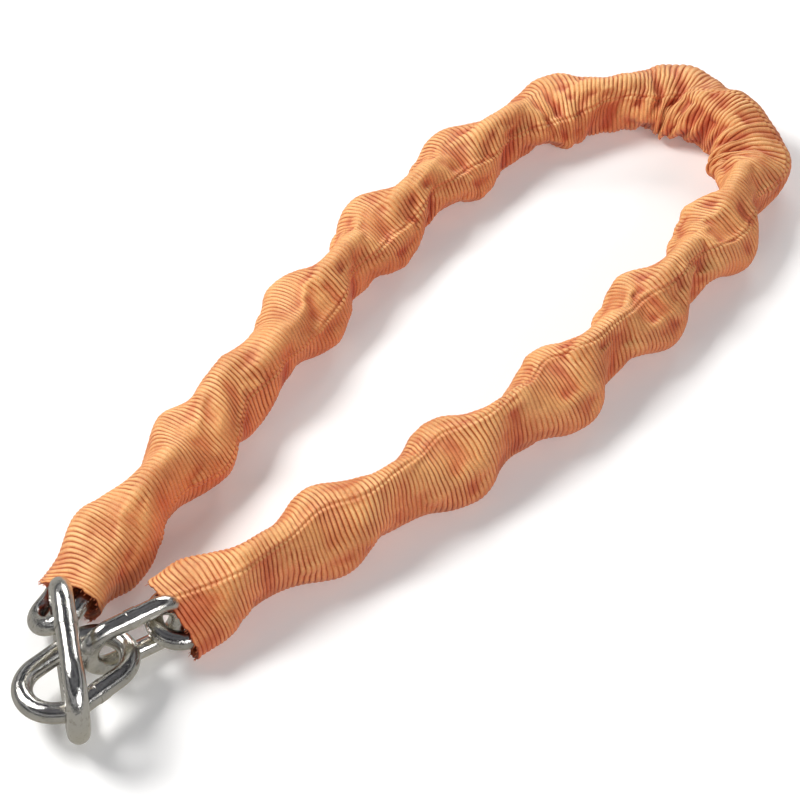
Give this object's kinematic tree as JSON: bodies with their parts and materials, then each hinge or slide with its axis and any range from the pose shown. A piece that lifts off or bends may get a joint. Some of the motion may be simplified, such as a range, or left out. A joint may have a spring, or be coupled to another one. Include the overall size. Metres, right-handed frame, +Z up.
{
  "type": "security chain with fabric sleeve",
  "caption": "Welded steel security chain in a ribbed orange fabric sleeve, with an oversize oval ring at each end, laid as a loop with one ring passed through the other.",
  "frame": {"origin": "under the middle of the loop, on the surface the chain lies on", "axes": "+Z up from that surface, +Y away from the ring end towards the bend of the loop, +X to the right"},
  "size_m": [0.3368, 0.413, 0.0415],
  "materials": {
    "link_steel": "zinc plated, bright, slightly yellowed",
    "ring_steel": "zinc plated, bright",
    "sleeve_fabric": "ribbed woven polyester"
  },
  "bodies": {
    "link_01": {"link_01": "link_steel"},
    "link_02": {"link_02": "link_steel", "sleeve_02": "sleeve_fabric"},
    "link_03": {"link_03": "link_steel", "sleeve_03": "sleeve_fabric"},
    "link_04": {"link_04": "link_steel", "sleeve_04": "sleeve_fabric"},
    "link_05": {"link_05": "link_steel", "sleeve_05": "sleeve_fabric"},
    "link_06": {"link_06": "link_steel", "sleeve_06": "sleeve_fabric"},
    "link_07": {"link_07": "link_steel", "sleeve_07": "sleeve_fabric"},
    "link_08": {"link_08": "link_steel", "sleeve_08": "sleeve_fabric"},
    "link_09": {"link_09": "link_steel", "sleeve_09": "sleeve_fabric"},
    "link_10": {"link_10": "link_steel", "sleeve_10": "sleeve_fabric"},
    "link_11": {"link_11": "link_steel", "sleeve_11": "sleeve_fabric"},
    "link_12": {"link_12": "link_steel", "sleeve_12": "sleeve_fabric"},
    "link_13": {"link_13": "link_steel", "sleeve_13": "sleeve_fabric"},
    "link_14": {"link_14": "link_steel", "sleeve_14": "sleeve_fabric"},
    "link_15": {"link_15": "link_steel", "sleeve_15": "sleeve_fabric"},
    "link_16": {"link_16": "link_steel", "sleeve_16": "sleeve_fabric"},
    "link_17": {"link_17": "link_steel", "sleeve_17": "sleeve_fabric"},
    "link_18": {"link_18": "link_steel", "sleeve_18": "sleeve_fabric"},
    "link_19": {"link_19": "link_steel", "sleeve_19": "sleeve_fabric"},
    "link_20": {"link_20": "link_steel", "sleeve_20": "sleeve_fabric"},
    "link_21": {"link_21": "link_steel", "sleeve_21": "sleeve_fabric"},
    "link_22": {"link_22": "link_steel", "sleeve_22": "sleeve_fabric"},
    "link_23": {"link_23": "link_steel", "sleeve_23": "sleeve_fabric"},
    "link_24": {"link_24": "link_steel", "sleeve_24": "sleeve_fabric"},
    "link_25": {"link_25": "link_steel", "sleeve_25": "sleeve_fabric"},
    "link_26": {"link_26": "link_steel", "sleeve_26": "sleeve_fabric"},
    "link_27": {"link_27": "link_steel", "sleeve_27": "sleeve_fabric"},
    "link_28": {"link_28": "link_steel", "sleeve_28": "sleeve_fabric"},
    "link_29": {"link_29": "link_steel", "sleeve_29": "sleeve_fabric"},
    "link_30": {"link_30": "link_steel"},
    "noose_ring": {"noose_ring": "ring_steel"},
    "end_ring": {"end_ring": "ring_steel"}
  },
  "joints": [
    {"name": "link_15_turn", "type": "hinge", "parent": "link_16", "child": "link_15", "pos_m": [0.12607, 0.18535, 0.01594], "axis": [0, 0, 1], "range_deg": [-2.77, 2.77]},
    {"name": "link_14_tilt", "type": "hinge", "parent": "link_15", "child": "link_14", "pos_m": [0.09507, 0.18796, 0.01594], "axis": [-0.1781, 0.984, 0], "range_deg": [-0.89, 0.89]},
    {"name": "left_arm_bow", "type": "hinge", "parent": "link_14", "child": "link_13", "pos_m": [0.06377, 0.1823, 0.01594], "axis": [0, 0, 1], "range_deg": [-6, 6]},
    {"name": "link_12_tilt", "type": "hinge", "parent": "link_13", "child": "link_12", "pos_m": [0.03775, 0.16439, 0.01594], "axis": [-0.6786, 0.7345, 0], "range_deg": [-4.09, 4.09]},
    {"name": "link_11_turn", "type": "hinge", "parent": "link_12", "child": "link_11", "pos_m": [0.01439, 0.14281, 0.01594], "axis": [0, 0, 1], "range_deg": [-2.4, 2.4]},
    {"name": "link_10_tilt", "type": "hinge", "parent": "link_11", "child": "link_10", "pos_m": [-0.00568, 0.11817, 0.01594], "axis": [-0.8027, 0.5963, 0], "range_deg": [-1.69, 1.69]},
    {"name": "link_09_turn", "type": "hinge", "parent": "link_10", "child": "link_09", "pos_m": [-0.02465, 0.09264, 0.01594], "axis": [0, 0, 1], "range_deg": [-3.74, 3.74]},
    {"name": "left_arm_arch", "type": "hinge", "parent": "link_09", "child": "link_08", "pos_m": [-0.0413, 0.06556, 0.01594], "axis": [-0.8651, 0.5016, 0], "range_deg": [-4, 4]},
    {"name": "link_07_turn", "type": "hinge", "parent": "link_08", "child": "link_07", "pos_m": [-0.05726, 0.03805, 0.01594], "axis": [0.0443, -0.0279, 0.9986], "range_deg": [-4.96, 4.96]},
    {"name": "link_06_tilt", "type": "hinge", "parent": "link_07", "child": "link_06", "pos_m": [-0.07213, 0.01179, 0.01594], "axis": [0.755, -0.4058, -0.515], "range_deg": [-0.62, 0.62]},
    {"name": "link_05_tilt", "type": "hinge", "parent": "link_06", "child": "link_05", "pos_m": [-0.08662, -0.01517, 0.01594], "axis": [-0.755, 0.4058, -0.515], "range_deg": [-0.89, 0.89]},
    {"name": "link_04_turn", "type": "hinge", "parent": "link_05", "child": "link_04", "pos_m": [-0.10096, -0.04186, 0.01594], "axis": [-0.0154, 0.0083, 0.9998], "range_deg": [-1.49, 1.49]},
    {"name": "link_03_tilt", "type": "hinge", "parent": "link_04", "child": "link_03", "pos_m": [-0.11602, -0.06987, 0.01594], "axis": [-0.8775, 0.4716, 0.0872], "range_deg": [-1.35, 1.35]},
    {"name": "link_02_turn", "type": "hinge", "parent": "link_03", "child": "link_02", "pos_m": [-0.13055, -0.09691, 0.01588], "axis": [0.4633, -0.2574, 0.848], "range_deg": [-2.78, 2.78]},
    {"name": "link_01_turn", "type": "hinge", "parent": "link_02", "child": "link_01", "pos_m": [-0.14476, -0.12333, 0.01538], "axis": [-0.4461, 0.2261, 0.8659], "range_deg": [-2.41, 2.41]},
    {"name": "noose_ring_swing", "type": "hinge", "parent": "link_01", "child": "noose_ring", "pos_m": [-0.14975, -0.15512, 0.0208], "axis": [0.9752, 0.2131, -0.0595], "range_deg": [-1, 6]},
    {"name": "link_17_turn", "type": "hinge", "parent": "link_16", "child": "link_17", "pos_m": [0.1514, 0.14925, 0.01594], "axis": [0, 0, 1], "range_deg": [-3.36, 3.36]},
    {"name": "link_18_tilt", "type": "hinge", "parent": "link_17", "child": "link_18", "pos_m": [0.14546, 0.11847, 0.01594], "axis": [0.9193, -0.3935, 0], "range_deg": [-2.81, 2.81]},
    {"name": "right_arm_bow", "type": "hinge", "parent": "link_18", "child": "link_19", "pos_m": [0.13294, 0.08924, 0.01594], "axis": [0, 0, 1], "range_deg": [-8, 8]},
    {"name": "link_20_tilt", "type": "hinge", "parent": "link_19", "child": "link_20", "pos_m": [0.11481, 0.06312, 0.01594], "axis": [0.8048, -0.5935, 0], "range_deg": [-2.3, 2.3]},
    {"name": "link_21_turn", "type": "hinge", "parent": "link_20", "child": "link_21", "pos_m": [0.09594, 0.03753, 0.01594], "axis": [0, 0, 1], "range_deg": [-1.76, 1.76]},
    {"name": "right_arm_arch", "type": "hinge", "parent": "link_21", "child": "link_22", "pos_m": [0.07596, 0.0128, 0.01594], "axis": [0.7618, -0.6478, 0], "range_deg": [-5, 5]},
    {"name": "link_23_turn", "type": "hinge", "parent": "link_22", "child": "link_23", "pos_m": [0.05536, -0.01143, 0.01594], "axis": [0, 0, 1], "range_deg": [-4.08, 4.08]},
    {"name": "link_24_tilt", "type": "hinge", "parent": "link_23", "child": "link_24", "pos_m": [0.03319, -0.03417, 0.01594], "axis": [0.6675, -0.7446, 0], "range_deg": [-4.18, 4.18]},
    {"name": "link_25_turn", "type": "hinge", "parent": "link_24", "child": "link_25", "pos_m": [0.00951, -0.0554, 0.01594], "axis": [0, 0, 1], "range_deg": [-2.07, 2.07]},
    {"name": "link_26_tilt", "type": "hinge", "parent": "link_25", "child": "link_26", "pos_m": [-0.01515, -0.07546, 0.01594], "axis": [0.6177, -0.7865, 0], "range_deg": [-1.45, 1.45]},
    {"name": "link_27_turn", "type": "hinge", "parent": "link_26", "child": "link_27", "pos_m": [-0.04016, -0.0951, 0.01594], "axis": [0, 0, 1], "range_deg": [-2.03, 2.03]},
    {"name": "link_28_tilt", "type": "hinge", "parent": "link_27", "child": "link_28", "pos_m": [-0.06606, -0.11353, 0.01594], "axis": [0.6083, -0.7937, 0], "range_deg": [-3.11, 3.11]},
    {"name": "link_29_turn", "type": "hinge", "parent": "link_28", "child": "link_29", "pos_m": [-0.0913, -0.13288, 0.01594], "axis": [0.1628, -0.1789, 0.9703], "range_deg": [-1.18, 1.18]},
    {"name": "link_30_lift", "type": "hinge", "parent": "link_29", "child": "link_30", "pos_m": [-0.11459, -0.14937, 0.01592], "axis": [0.5402, -0.8414, -0.0139], "range_deg": [-4, 0.3]},
    {"name": "end_ring_swing", "type": "hinge", "parent": "link_30", "child": "end_ring", "pos_m": [-0.1374, -0.16628, 0.01467], "axis": [-0.0058, 0.0766, 0.997], "range_deg": [-6, 1]}
  ],
  "couplings": [
    {"joint": "link_15_turn", "follows": "left_arm_bow", "ratio": -0.44941},
    {"joint": "link_11_turn", "follows": "left_arm_bow", "ratio": 0.38897},
    {"joint": "link_09_turn", "follows": "left_arm_bow", "ratio": -0.60822},
    {"joint": "link_07_turn", "follows": "left_arm_bow", "ratio": -0.80666},
    {"joint": "link_04_turn", "follows": "left_arm_bow", "ratio": -0.23949},
    {"joint": "link_02_turn", "follows": "left_arm_bow", "ratio": 0.4517},
    {"joint": "link_01_turn", "follows": "left_arm_bow", "ratio": 0.39033},
    {"joint": "link_14_tilt", "follows": "left_arm_arch", "ratio": 0.21278},
    {"joint": "link_12_tilt", "follows": "left_arm_arch", "ratio": -0.99764},
    {"joint": "link_10_tilt", "follows": "left_arm_arch", "ratio": 0.40941},
    {"joint": "link_06_tilt", "follows": "left_arm_arch", "ratio": 0.14834},
    {"joint": "link_05_tilt", "follows": "left_arm_arch", "ratio": -0.21303},
    {"joint": "link_03_tilt", "follows": "left_arm_arch", "ratio": -0.32707},
    {"joint": "link_17_turn", "follows": "right_arm_bow", "ratio": -0.40966},
    {"joint": "link_21_turn", "follows": "right_arm_bow", "ratio": -0.21301},
    {"joint": "link_23_turn", "follows": "right_arm_bow", "ratio": -0.49727},
    {"joint": "link_25_turn", "follows": "right_arm_bow", "ratio": -0.25089},
    {"joint": "link_27_turn", "follows": "right_arm_bow", "ratio": 0.24607},
    {"joint": "link_29_turn", "follows": "right_arm_bow", "ratio": 0.14197},
    {"joint": "link_18_tilt", "follows": "right_arm_arch", "ratio": -0.54699},
    {"joint": "link_20_tilt", "follows": "right_arm_arch", "ratio": -0.44785},
    {"joint": "link_24_tilt", "follows": "right_arm_arch", "ratio": 0.81667},
    {"joint": "link_26_tilt", "follows": "right_arm_arch", "ratio": -0.2805},
    {"joint": "link_28_tilt", "follows": "right_arm_arch", "ratio": -0.60644}
  ]
}
